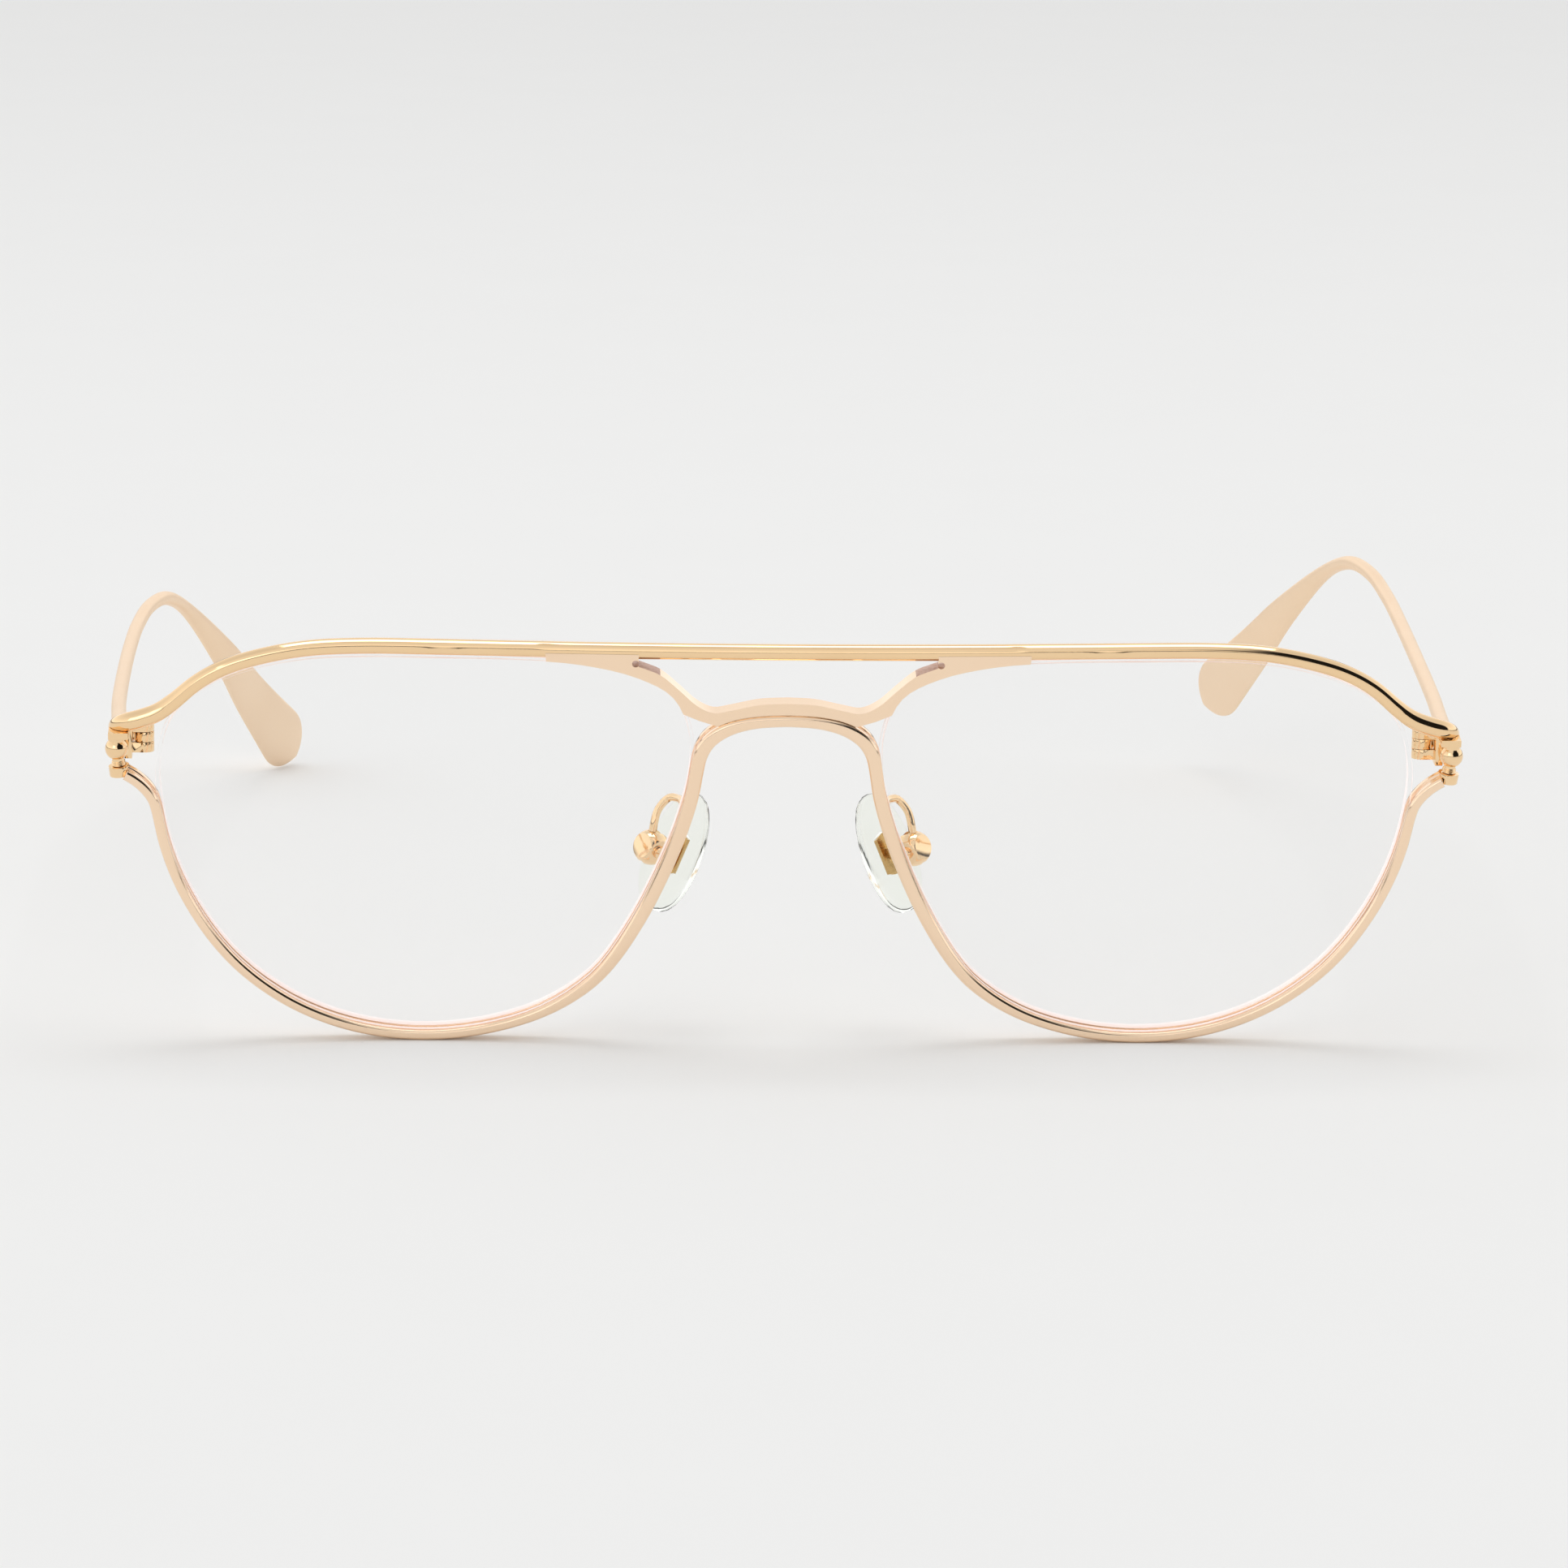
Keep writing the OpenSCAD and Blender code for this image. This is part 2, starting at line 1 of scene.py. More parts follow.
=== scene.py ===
# %% [markdown]
# # Double-bridge wire glasses
#
# This lesson dresses a finished engineering model of a pair of wire glasses. The engineering model
# already has the right sizes and moves at its hinges. Blender adds what a maker adds at the end:
# smooth wire, softened edges, polish, ground lens edges and clear silicone.
#
# Each part of it is a node, and each node rides on a body that can move. Every new piece made here
# either stands for a node or is added to a body.

import json
import math

import bmesh
import bpy
from mathutils import Matrix, Vector


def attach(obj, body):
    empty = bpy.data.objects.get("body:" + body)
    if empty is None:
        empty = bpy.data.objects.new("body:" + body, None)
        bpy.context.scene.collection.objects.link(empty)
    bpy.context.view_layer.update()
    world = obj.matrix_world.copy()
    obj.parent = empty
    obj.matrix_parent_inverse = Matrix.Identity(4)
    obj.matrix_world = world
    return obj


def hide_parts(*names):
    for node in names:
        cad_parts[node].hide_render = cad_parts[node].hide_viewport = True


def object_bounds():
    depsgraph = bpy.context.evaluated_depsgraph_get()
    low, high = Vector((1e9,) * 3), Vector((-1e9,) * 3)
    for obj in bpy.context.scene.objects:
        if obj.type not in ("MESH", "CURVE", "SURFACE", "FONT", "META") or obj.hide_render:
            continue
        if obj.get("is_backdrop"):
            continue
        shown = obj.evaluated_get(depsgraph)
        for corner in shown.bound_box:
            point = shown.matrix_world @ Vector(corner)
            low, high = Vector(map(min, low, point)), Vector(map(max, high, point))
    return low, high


MM = 0.001
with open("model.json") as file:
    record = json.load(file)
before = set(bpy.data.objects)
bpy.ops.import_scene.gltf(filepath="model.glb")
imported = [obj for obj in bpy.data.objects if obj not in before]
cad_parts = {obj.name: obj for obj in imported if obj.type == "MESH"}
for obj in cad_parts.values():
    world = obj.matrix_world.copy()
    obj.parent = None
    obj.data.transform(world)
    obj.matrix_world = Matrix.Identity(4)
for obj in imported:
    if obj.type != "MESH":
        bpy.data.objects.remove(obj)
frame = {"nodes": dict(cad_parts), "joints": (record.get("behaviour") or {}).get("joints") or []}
nodes = frame["nodes"]
cad_low, cad_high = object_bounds()
front_y = frame["joints"][0]["pos_m"][1] - 0.3 * MM
print(len(nodes), "nodes, box size in mm:", [round((b - a) / MM, 2) for a, b in zip(cad_low, cad_high)])

# %% [markdown]
# ## Camera
#
# Glasses are best shown from a step away with a long lens, so that the two sides look equally large.
# The camera stands a little to one side and looks slightly down. Its place is worked out from the
# point it looks at, a distance and two angles, because those are the numbers a studio would change.

# %% Place the camera
def aim_camera(camera, target, distance, azimuth, elevation, roll):
    a, e, r = (math.radians(v) for v in (azimuth, elevation, roll))
    forward = Vector((-math.sin(a) * math.cos(e), math.cos(a) * math.cos(e), -math.sin(e)))
    right = Vector((math.cos(a), math.sin(a), 0))
    up = right.cross(forward)
    side = math.cos(r) * right + math.sin(r) * up
    top = side.cross(forward)
    turn = Matrix((side, top, -forward)).transposed().to_4x4()
    camera.matrix_world = Matrix.Translation(target - distance * forward) @ turn


lens_data = bpy.data.cameras.new("studio_camera")
lens_data.lens = 157.64
lens_data.sensor_width = 36.0
lens_data.clip_end = 50.0
camera = bpy.data.objects.new("studio_camera", lens_data)
bpy.context.scene.collection.objects.link(camera)
aim_camera(camera, Vector((-0.07 * MM, front_y, 27.14 * MM)), 0.7, -2.247, 12.5, 0.80)
bpy.context.scene.camera = camera
print("camera at", tuple(round(v, 3) for v in camera.location))

# %% [markdown]
# ## Sweeping a smooth wire
#
# The wires of the engineering model are rings of points joined by flat faces. That is exact enough to
# bend and test, but polished metal shows every flat. The model's own rings are used again here: they
# are found in order from one end, joined by clean four-sided faces, and smoothed along the wire by a
# Subdivision Surface. Sweeping a section along a curve would be the other way, but the twist at the
# tips would have to be set by hand. Where the real wire has an edge, such as the rim's flat front, the
# lines along the wire get a crease, so the section stays as it is while the length becomes a curve.

# %% Read the rings of a wire
TOUCHING = 0.002 * MM


def rings_of(node_names, first_end):
    """Rings of points, each in turn round the wire, from the end that first_end picks to the far end."""
    joined = bmesh.new()
    for name in node_names:
        joined.from_mesh(nodes[name].data)
    bmesh.ops.remove_doubles(joined, verts=joined.verts, dist=TOUCHING)
    joined.verts.index_update()
    level = {v: 0 for v in joined.verts if first_end(v.co)}
    rings = [list(level)]
    while True:
        found = {e.other_vert(v) for v in rings[-1] for e in v.link_edges} - level.keys()
        if not found:
            break
        level.update({v: len(rings) for v in found})
        rings.append(sorted(found, key=lambda v: v.index))
    caps = [f for f in joined.faces if len({level[v] for v in f.verts}) == 1]
    bmesh.ops.delete(joined, geom=caps, context="FACES")
    points = [walk_round(ring, level) for ring in rings]
    joined.free()
    assert len({len(ring) for ring in points}) == 1, [len(ring) for ring in points]
    return points


def walk_round(ring, level):
    """The points of one ring in the order of its own edges."""
    walked, at = [], ring[0]
    while at is not None:
        walked.append(at)
        beside = [e.other_vert(at) for e in at.link_edges]
        at = next((v for v in beside if level[v] == level[ring[0]] and v not in walked), None)
    return [v.co.copy() for v in walked]


def in_step(ring, before, along):
    """The ring turned so that it runs the same way round as the one before and starts beside it."""
    turning = sum((a.cross(b) for a, b in zip(ring, ring[1:] + ring[:1])), Vector())
    if turning.dot(along) < 0:
        ring = ring[::-1]
    if before is None:
        return ring
    count = len(ring)
    shift = (sum(ring, Vector()) - sum(before, Vector())) / count
    start = min(range(count), key=lambda s: sum(
        (ring[(k + s) % count] - shift - before[k]).length_squared for k in range(count)))
    return [ring[(k + start) % count] for k in range(count)]


def finished(name, shape):
    """Turns a bmesh into an object at the origin, with smooth shading and normals that face out."""
    bmesh.ops.recalc_face_normals(shape, faces=shape.faces)
    for face in shape.faces:
        face.smooth = True
    mesh = bpy.data.meshes.new(name)
    shape.to_mesh(mesh)
    shape.free()
    piece = bpy.data.objects.new(name, mesh)
    bpy.context.scene.collection.objects.link(piece)
    return piece


SHARP, NEARLY_SHARP = 1.0, 0.9
WIRE_LEVELS = 2


def wire_through(name, rings, keeps_edge):
    """A closed, smooth wire through the rings. keeps_edge(point, ring) picks the lines that stay sharp."""
    shape = bmesh.new()
    crease = shape.edges.layers.float.new("crease_edge")
    before, last = None, None
    for i, ring in enumerate(rings):
        near = rings[max(0, i - 1):i + 2]
        along = (sum(near[-1], Vector()) - sum(near[0], Vector())).normalized()
        before = in_step(ring, before, along)
        verts = [shape.verts.new(p) for p in before]
        sharp = [keeps_edge(p, ring) for p in before]
        for k in range(len(verts) if last else 0):
            after = (k + 1) % len(verts)
            shape.faces.new((last[k], last[after], verts[after], verts[k]))
            if sharp[k]:
                shape.edges.get((last[k], verts[k]))[crease] = SHARP
        last = verts
    ends = [e for e in shape.edges if e.is_boundary]
    bmesh.ops.holes_fill(shape, edges=ends, sides=0)
    for edge in ends:
        edge[crease] = NEARLY_SHARP
    piece = finished(name, shape)
    smooth = piece.modifiers.new("smooth_wire", "SUBSURF")
    smooth.levels = smooth.render_levels = WIRE_LEVELS
    print(name, len(rings), "rings,", len(piece.data.polygons), "faces before smoothing")
    return piece


def flat_faces_first(piece):
    """Lets the wide faces shade flat, so that only the narrow corners look round."""
    shading = piece.modifiers.new("flat_faces_first", "WEIGHTED_NORMAL")
    shading.weight = 80
    return piece


# %% [markdown]
# ## Rim wire
#
# On the real frame one flat grooved wire runs from one outer lug round the first lens, over the nose and
# round the second lens to the other lug. The engineering model cuts it in three at the corners of the
# nose. Those three share their end rings, so they are read as one wire here and no seam shows. Every
# line along the wire keeps its edge, because the wire is rolled flat with small broken corners.

# %% Rim wire
LEAN = math.radians(9)
LUG_SLOPE = math.radians(24)
toward_left_lug = Vector((-math.cos(LUG_SLOPE), -math.sin(LUG_SLOPE) * math.sin(LEAN),
                          math.sin(LUG_SLOPE) * math.cos(LEAN)))
OUTER_SIDE = -60 * MM
outer_points = [v.co for v in nodes["rim_left"].data.vertices if v.co.x < OUTER_SIDE]
left_end = max(p.dot(toward_left_lug) for p in outer_points)
rim_wire = wire_through(
    "rim_wire",
    rings_of(["rim_left", "lower_bridge", "rim_right"],
             lambda p: p.x < OUTER_SIDE and p.dot(toward_left_lug) > left_end - TOUCHING),
    lambda point, ring: True)
flat_faces_first(rim_wire)
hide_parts("rim_left", "lower_bridge", "rim_right")
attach(rim_wire, "front_frame")

# %% [markdown]
# ## Brow bar
#
# The brow bar is round wire with a slot milled in its underside over each lens, where the lens edge
# sits. Only the edges of the slot stay sharp. The rest of the section is a circle, and the subdivision
# rounds it, so the bar gets the long clean highlight that round polished wire has.

# %% Brow bar
bar_back = max(v.co.y for v in nodes["brow_bar"].data.vertices)
SLOT_REACH = 0.93


def beside_slot(point, ring):
    """True for the four points of the slot, the nearest ones to the ring's lowest side."""
    middle = sum(ring, Vector()) / len(ring)
    reach = max((p - middle).length for p in ring)
    return (point - middle).length < SLOT_REACH * reach


brow_bar = wire_through(
    "brow_bar_wire",
    rings_of(["brow_bar"], lambda p: p.y > bar_back - TOUCHING / 2 and p.x < 0),
    beside_slot)
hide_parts("brow_bar")
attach(brow_bar, "front_frame")

# %% [markdown]
# ## Temples
#
# Each temple is one length of round wire. Its end is pressed flat in a die and bent down behind the ear,
# so the section turns from a circle into a long oval with no edge anywhere. A plain subdivision of the
# model's rings gives that change of section for free.

# %% Temples
for side in ("left", "right"):
    node_name = "temple_" + side
    first_ring = min(v.co.y for v in nodes[node_name].data.vertices) + 0.3 * MM
    temple = wire_through("temple_wire_" + side, rings_of([node_name], lambda p: p.y < first_ring),
                          lambda point, ring: False)
    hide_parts(node_name)
    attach(temple, node_name)

# %% [markdown]
# ## Machined pieces
#
# Screws, nuts, lugs, hinge knuckles, the bridge plate and the pad boxes are turned or stamped, then
# tumbled, which breaks every edge by a few hundredths of a millimetre. Without that break an edge looks
# like paper. A copy of each model part is merged, its coplanar triangles are joined, and a small Bevel
# with Weighted Normal gives the edge its thin bright line and keeps the flat faces flat.

# %% Copies with broken edges
COPLANAR = math.radians(0.6)


def broken_edges(node_name, body, width, angle=35, segments=2):
    """A merged copy of a model part with its edges broken by width, standing for that part."""
    shape = bmesh.new()
    shape.from_mesh(nodes[node_name].data)
    bmesh.ops.remove_doubles(shape, verts=shape.verts, dist=TOUCHING)
    bmesh.ops.dissolve_limit(shape, angle_limit=COPLANAR, verts=shape.verts, edges=shape.edges)
    piece = finished(node_name + "_finished", shape)
    if width:
        edge_break = piece.modifiers.new("edge_break", "BEVEL")
        edge_break.width = width
        edge_break.segments = segments
        edge_break.limit_method = "ANGLE"
        edge_break.angle_limit = math.radians(angle)
        edge_break.harden_normals = True
    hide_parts(node_name)
    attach(piece, body)
    return piece


plate = broken_edges("bridge_plate", "front_frame", 0.2 * MM, 35, 3)
flat_faces_first(plate)
metal_parts = []
for side in ("left", "right"):
    for stem, body, width in (
        ("rim_lug_", "front_frame", 0.06), ("closing_screw_", "front_frame", 0.03),
        ("ball_nut_", "front_frame", 0.03), ("endpiece_", "front_frame", 0.05),
        ("hinge_screw_", "front_frame", 0.03), ("temple_hinge_", "temple_" + side, 0.05),
        ("pad_box_", "front_frame", 0.04), ("pad_screw_", "front_frame", 0.02),
        ("pad_arm_", "front_frame", 0),
    ):
        metal_parts.append(broken_edges(stem + side, body, width * MM))
print(len(metal_parts), "small metal parts finished")

# %% [markdown]
# ## Nose pads
#
# Each pad is clear silicone moulded over a thin brass insert. The two are separate pieces: the insert
# shows dark gold through the silicone. The pad is soft to the touch, so its rim is rounded more than a
# metal edge is.

# %% Nose pads and inserts
pads, inserts = [], []
for side in ("left", "right"):
    pads.append(broken_edges("nose_pad_" + side, "nose_pad_" + side, 0.1 * MM, 40, 3))
    inserts.append(broken_edges("pad_insert_" + side, "nose_pad_" + side, 0.05 * MM))
print(len(pads), "pads,", len(inserts), "inserts")

# %% [markdown]
# ## Lenses
#
# A lens is cut from a round blank and its edge is ground to fit the groove. The two faces are polished
# and clear, but the ground edge stays frosted, and seen through the lens it looks like a pale pinkish
# band that carries the colour of the wire. So the edge gets its own material, chosen by the direction a
# face points.

# %% Lenses with ground edges
lenses = [broken_edges("lens_" + side, "front_frame", 0) for side in ("left", "right")]
print(len(lenses), "lenses,", len(lenses[0].data.polygons), "faces each")

# %% [markdown]
# ## Fine polish
#
# Polished plate is never perfectly even: buffing leaves very fine lines, and the colour drifts a little
# where the plating is thicker. One node group makes both from noise on object coordinates. Each metal
# gives it its own two colours and its own roughness, so the group is built once.

# %% Node group for buffed metal
def new_group(name, inputs, outputs):
    group = bpy.data.node_groups.new(name, "ShaderNodeTree")
    for label, kind, value in inputs:
        socket = group.interface.new_socket(label, in_out="INPUT", socket_type=kind)
        socket.default_value = value
    for label, kind in outputs:
        group.interface.new_socket(label, in_out="OUTPUT", socket_type=kind)
    return group, group.nodes.new("NodeGroupInput"), group.nodes.new("NodeGroupOutput")


def wired(tree, kind, inputs=None, **settings):
    """A new node with its settings made and its inputs linked or given a value."""
    node = tree.nodes.new(kind)
    for name, value in settings.items():
        setattr(node, name, value)
    for key, value in (inputs or {}).items():
        if isinstance(value, bpy.types.NodeSocket):
            tree.links.new(value, node.inputs[key])
        else:
            node.inputs[key].default_value = value
    return node


def object_noise(tree, scale, detail, stretch=None):
    """Noise on object coordinates, so that it stays on the piece. stretch draws it out into lines."""
    place = wired(tree, "ShaderNodeTexCoord").outputs["Object"]
    if stretch:
        place = wired(tree, "ShaderNodeMapping", {"Vector": place, "Scale": stretch}).outputs["Vector"]
    noise = wired(tree, "ShaderNodeTexNoise", {"Vector": place, "Scale": scale, "Detail": detail})
    return noise.outputs["Fac"]


buffed, given, made = new_group(
    "buffed_plate",
    [("Colour", "NodeSocketColor", (0.8, 0.6, 0.5, 1)),
     ("Deeper colour", "NodeSocketColor", (0.7, 0.5, 0.4, 1)),
     ("Least roughness", "NodeSocketFloat", 0.1), ("Most roughness", "NodeSocketFloat", 0.2),
     ("Line depth", "NodeSocketFloat", 0.1)],
    [("Colour", "NodeSocketColor"), ("Roughness", "NodeSocketFloat"), ("Normal", "NodeSocketVector")])
drift = object_noise(buffed, 160.0, 3.0)
lines = object_noise(buffed, 1.0, 4.0, (900.0, 2500.0, 9000.0))
tint = wired(buffed, "ShaderNodeMix", {"Factor": drift}, data_type="RGBA")
for socket in tint.inputs:
    if socket.type == "RGBA":
        buffed.links.new(given.outputs["Colour" if socket.name == "A" else "Deeper colour"], socket)
rough = wired(buffed, "ShaderNodeMapRange", {"Value": lines, "From Min": 0.3, "From Max": 0.7,
                                              "To Min": given.outputs["Least roughness"],
                                              "To Max": given.outputs["Most roughness"]}).outputs["Result"]
relief = wired(buffed, "ShaderNodeBump", {"Height": lines, "Strength": given.outputs["Line depth"],
                                           "Distance": 0.00002}).outputs["Normal"]
tint_out = next(s for s in tint.outputs if s.type == "RGBA")
for label, value in (("Colour", tint_out), ("Roughness", rough), ("Normal", relief)):
    buffed.links.new(value, made.inputs[label])
print("group", buffed.name, "with", len(buffed.nodes), "nodes")

# %% [markdown]
# ## Metals
#
# The whole frame has one pale rose-gold plating. The wires and the small parts are buffed bright, the
# temples only softly, and the inserts inside the silicone are a darker gold, because they are stamped
# and not plated again.

# %% Rose-gold metals
def new_material(name):
    """A material with its node tree and its Principled shader."""
    material = bpy.data.materials.new(name)
    material.use_nodes = True
    return material, material.node_tree, material.node_tree.nodes["Principled BSDF"]


def metal(name, colour, deeper, least, most, depth):
    """Buffed metal between two colours and two roughnesses, with buffing lines of that depth."""
    material, tree, shader = new_material(name)
    shader.inputs["Metallic"].default_value = 1.0
    finish = tree.nodes.new("ShaderNodeGroup")
    finish.node_tree = buffed
    for socket, value in zip(finish.inputs, ((*colour, 1), (*deeper, 1), least, most, depth)):
        socket.default_value = value
    for made_here, wanted in zip(finish.outputs, ("Base Color", "Roughness", "Normal")):
        tree.links.new(made_here, shader.inputs[wanted])
    return material


bright_gold = metal("rose_gold_bright", (0.97, 0.71, 0.43), (0.93, 0.66, 0.38), 0.05, 0.09, 0.015)
flat_gold = metal("rose_gold_rolled", (1.0, 0.77, 0.56), (0.97, 0.73, 0.52), 0.11, 0.17, 0.02)
soft_gold = metal("rose_gold_soft", (0.97, 0.76, 0.55), (0.93, 0.71, 0.50), 0.38, 0.48, 0.05)
dark_gold = metal("insert_gold", (0.72, 0.47, 0.22), (0.60, 0.36, 0.14), 0.18, 0.3, 0.1)


def dress(piece, *materials):
    piece.data.materials.clear()
    for material in materials:
        piece.data.materials.append(material)


dress(rim_wire, flat_gold)
for piece in [brow_bar, *metal_parts]:
    dress(piece, bright_gold)
for side in ("left", "right"):
    dress(bpy.data.objects["temple_wire_" + side], soft_gold)
for piece in inserts:
    dress(piece, dark_gold)
print("metals:", [m.name for m in (bright_gold, flat_gold, soft_gold, dark_gold)])

# %% [markdown]
# ## Rough ends of the window
#
# The window in the bridge plate is sawn, and the saw's marks are buffed away everywhere but in its two
# narrow ends, where no wheel reaches. So the faces of the wall there, which look up, get a duller and
# redder metal with deep marks.

# %% Rough cut in the plate
ROUGH_FROM, ROUGH_TO, ROUGH_ABOVE = 12.9 * MM, 15.9 * MM, 39.4 * MM
rough_cut = metal("rough_cut_wall", (0.80, 0.58, 0.48), (0.52, 0.36, 0.31), 0.4, 0.75, 1.0)
dress(plate, flat_gold, rough_cut)
for face in plate.data.polygons:
    near_end = ROUGH_FROM < abs(face.center.x) < ROUGH_TO and face.center.z > ROUGH_ABOVE
    face.material_index = int(near_end and face.normal.z > 0.3)
print("rough faces:", sum(face.material_index for face in plate.data.polygons))

# %% [markdown]
# ## Clear lens
#
# The lens is so clear that only its edge and its faint gloss show. Full glass would bend the light and
# cast a dark shadow that a thin lens doesn't have. A material that is nearly transparent, and less so
# at a grazing angle, looks the same from the front and keeps the table bright. Its near-white colour,
# which shows most at a grazing angle, is a painted sheen for the lens's reflection.

# %% Lens material
clear_lens, tree, shader = new_material("lens_clear")
shader.inputs["Roughness"].default_value = 0.02
# near-white colour of the painted sheen, with a little noise
painted_sheen_colour = wired(tree, "ShaderNodeValToRGB", {"Fac": object_noise(tree, 300.0, 2.0)})
painted_sheen_colour.color_ramp.elements[0].color = (0.9216, 0.9312, 0.9312, 1)
painted_sheen_colour.color_ramp.elements[1].color = (0.96, 0.97, 0.97, 1)
tree.links.new(painted_sheen_colour.outputs["Color"], shader.inputs["Base Color"])
# painted sheen: the lens grows less transparent at a grazing angle, so its white colour stands in for its
# reflection
grazing_painted_sheen = wired(tree, "ShaderNodeLayerWeight", {"Blend": 0.25}).outputs["Facing"]
veil = wired(tree, "ShaderNodeMapRange", {"Value": grazing_painted_sheen, "To Min": 0.03, "To Max": 0.35})
tree.links.new(veil.outputs["Result"], shader.inputs["Alpha"])
print("lens finish:", clear_lens.name)

# %% [markdown]
# ## Ground lens edge
#
# The grinding wheel leaves fine lines that run round the edge, and the frost between them is white. The
# little rose in its colour is a painted reflection of the wire round it. Light that enters the lens is
# led to its edge, and a small emission paints the glow it makes there.

# %% Ground edge material
ground_edge, tree, shader = new_material("lens_edge_ground")
shader.inputs["Roughness"].default_value = 0.55
# painted glow: the ground edge emits a little light of its frost colour
shader.inputs["Emission Strength"].default_value = 0.28
grind = object_noise(tree, 1.0, 5.0, (300.0, 9000.0, 300.0))
frost_and_painted_glow = wired(tree, "ShaderNodeValToRGB", {"Fac": grind})
# grind lines and frost are real; the rose in these colours is a painted reflection of the wire
line, ridge = frost_and_painted_glow.color_ramp.elements
line.position, line.color = 0.3, (0.90, 0.74, 0.71, 1)
ridge.position, ridge.color = 0.7, (0.99, 0.94, 0.93, 1)
veil = wired(tree, "ShaderNodeMapRange",
             {"Value": grind, "From Min": 0.3, "From Max": 0.7, "To Min": 0.9, "To Max": 0.6})
relief = wired(tree, "ShaderNodeBump", {"Height": grind, "Strength": 0.4, "Distance": 0.00003})
for made_here, wanted in ((frost_and_painted_glow.outputs["Color"], "Base Color"), (frost_and_painted_glow.outputs["Color"], "Emission Color"),
                          (veil.outputs["Result"], "Alpha"), (relief.outputs["Normal"], "Normal")):
    tree.links.new(made_here, shader.inputs[wanted])

facing = Vector((0, -math.cos(LEAN), -math.sin(LEAN)))
FRONT_OR_BACK = 0.9
for lens in lenses:
    dress(lens, clear_lens, ground_edge)
    for face in lens.data.polygons:
        ground = abs(face.normal.dot(facing)) < FRONT_OR_BACK
        face.material_index = int(ground)
        face.use_smooth = not ground
print("ground faces:", sum(f.material_index for f in lenses[0].data.polygons))

# %% [markdown]
# ## Silicone
#
# Silicone is clear but never quite colourless: it has a faint green-yellow tint and a skin that is a
# little duller in places. The piece is thick and small, so here real transmission is used, with a low
# index because the soft skin hardly bends the light.

# %% Silicone material
silicone, tree, shader = new_material("clear_silicone")
shader.inputs["Transmission Weight"].default_value = 1.0
shader.inputs["IOR"].default_value = 1.13
milk = object_noise(tree, 500.0, 3.0)
milk_tint = wired(tree, "ShaderNodeValToRGB", {"Fac": milk})
milk_tint.color_ramp.elements[0].color = (0.95, 0.98, 0.91, 1)
milk_tint.color_ramp.elements[1].color = (0.99, 1.0, 0.97, 1)
tree.links.new(milk_tint.outputs["Color"], shader.inputs["Base Color"])
skin = wired(tree, "ShaderNodeMapRange", {"Value": milk, "To Min": 0.02, "To Max": 0.1})
tree.links.new(skin.outputs["Result"], shader.inputs["Roughness"])
for pad in pads:
    dress(pad, silicone)
print("pad finish:", silicone.name)

# %% [markdown]
# ## Table
#
# The glasses stand on pale seamless paper. One plain flat sheet is enough, as long as it runs on well
# past what the camera sees. Its colour drifts by one part in a hundred, as real paper's does.

# %% Table
TABLE_HALF = 6.0
floor_shape = bmesh.new()
bmesh.ops.create_grid(floor_shape, x_segments=1, y_segments=1, size=TABLE_HALF)
floor = finished("table_top", floor_shape)
floor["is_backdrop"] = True
paper, tree, shader = new_material("seamless_paper")
shader.inputs["Roughness"].default_value = 0.9
shader.inputs["Specular IOR Level"].default_value = 0.1
shade = wired(tree, "ShaderNodeValToRGB", {"Fac": object_noise(tree, 40.0, 2.0)})
shade.color_ramp.elements[0].color = (0.895, 0.895, 0.888, 1)
shade.color_ramp.elements[1].color = (0.905, 0.905, 0.898, 1)
tree.links.new(shade.outputs["Color"], shader.inputs["Base Color"])
dress(floor, paper)
print("table is", tuple(round(v, 1) for v in floor.dimensions))

# %% [markdown]
# ## Lights
#
# One soft box hangs over the glasses and makes the white line along the top of every wire. A weaker and
# smaller one stands to the left of the camera, and keeps the front faces from going grey.

# %% Soft boxes
def soft_box(name, place, aim, width, depth, power):
    """A rectangular lamp at place that faces aim."""
    data = bpy.data.lights.new(name, "AREA")
    data.shape = "RECTANGLE"
    data.size, data.size_y = width, depth
    data.energy = power
    lamp = bpy.data.objects.new(name, data)
    lamp.location = place
    lamp.rotation_euler = (Vector(aim) - Vector(place)).to_track_quat("-Z", "Y").to_euler()
    bpy.context.scene.collection.objects.link(lamp)
    return lamp


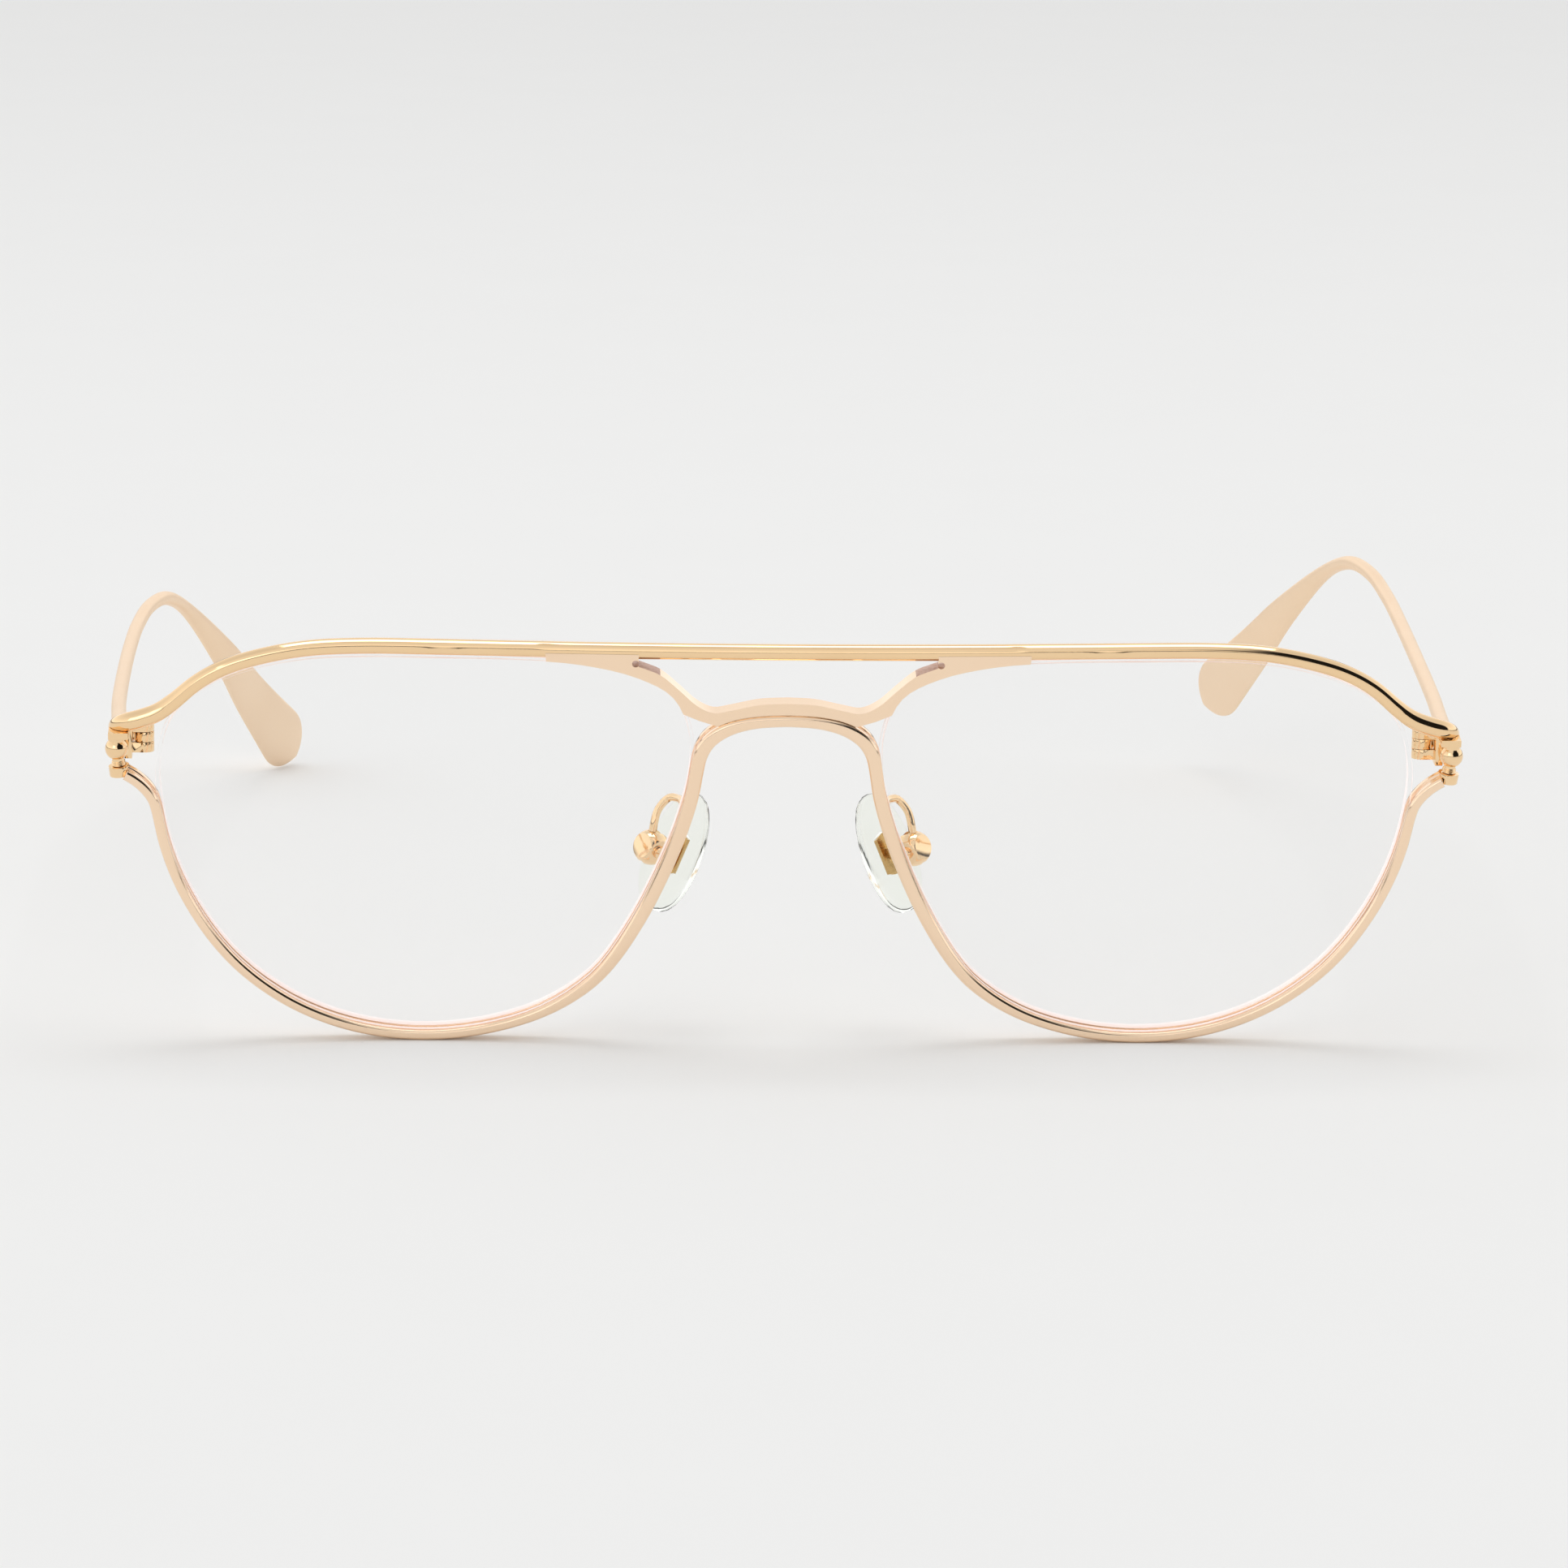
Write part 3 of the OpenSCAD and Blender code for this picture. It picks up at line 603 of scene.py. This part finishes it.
lamps = [soft_box("overhead_soft_box", (0, 0.1, 1.2), (0, 0, 0), 0.8, 0.5, 2.6),
         soft_box("front_fill", (-0.7, -1.3, 0.7), (0, 0, 0.03), 0.6, 0.6, 1.0)]
print("lights:", [lamp.name for lamp in lamps])

# %% [markdown]
# ## Surroundings
#
# Polished metal shows whatever stands round it, so the room matters as much as the lamps. Its walls are
# bright and its ceiling a little less so. A thin dark line at the height of the table's far edge gives
# the bar its dark line, and one black card ahead on the right gives the black reflection where the bar
# turns back to the hinge. Real cards would show in a view from the side, so both are drawn in the
# world's colour.

# %% Room round the table
world = bpy.data.worlds.new("studio_surroundings")
bpy.context.scene.world = world
world.use_nodes = True
tree = world.node_tree
backdrop = tree.nodes["Background"]
direction = wired(tree, "ShaderNodeTexCoord").outputs["Generated"]
parts = wired(tree, "ShaderNodeSeparateXYZ", {"Vector": direction})
height = wired(tree, "ShaderNodeValToRGB", {"Fac": parts.outputs["Z"]})
room = height.color_ramp
room.elements[0].position, room.elements[1].position = 0.025, 1.0
room.elements[0].color, room.elements[1].color = (0.05, 0.05, 0.05, 1), (0.60, 0.60, 0.60, 1)
for position, brightness in ((0.075, 1.0), (0.5, 0.8)):
    room.elements.new(position).color = (brightness, brightness, brightness, 1)
toward_card = Vector((0.6, -0.72, 0.35)).normalized()
nearness = wired(tree, "ShaderNodeVectorMath", {0: direction, 1: toward_card}, operation="DOT_PRODUCT")
card = wired(tree, "ShaderNodeMapRange",
             {"Value": nearness.outputs["Value"], "From Min": 0.81, "From Max": 0.89,
              "To Min": 1.2, "To Max": 0.015}, interpolation_type="SMOOTHSTEP")
tree.links.new(height.outputs["Color"], backdrop.inputs["Color"])
tree.links.new(card.outputs["Result"], backdrop.inputs["Strength"])
bpy.context.scene.view_settings.view_transform = "Standard"
print("room has", len(room.elements), "brightness steps")

# %% [markdown]
# ## Sizes before and after
#
# Two boxes are measured, the engineering model's and the finished model's, and the change between them
# is printed. They should agree to a fraction of a millimetre, because finishing metal doesn't change its
# size.

# %% Compare the sizes
new_low, new_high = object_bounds()
changes = zip((*cad_low, *cad_high), (*new_low, *new_high))
print("size change in mm:", [round((b - a) / MM, 2) for a, b in changes])
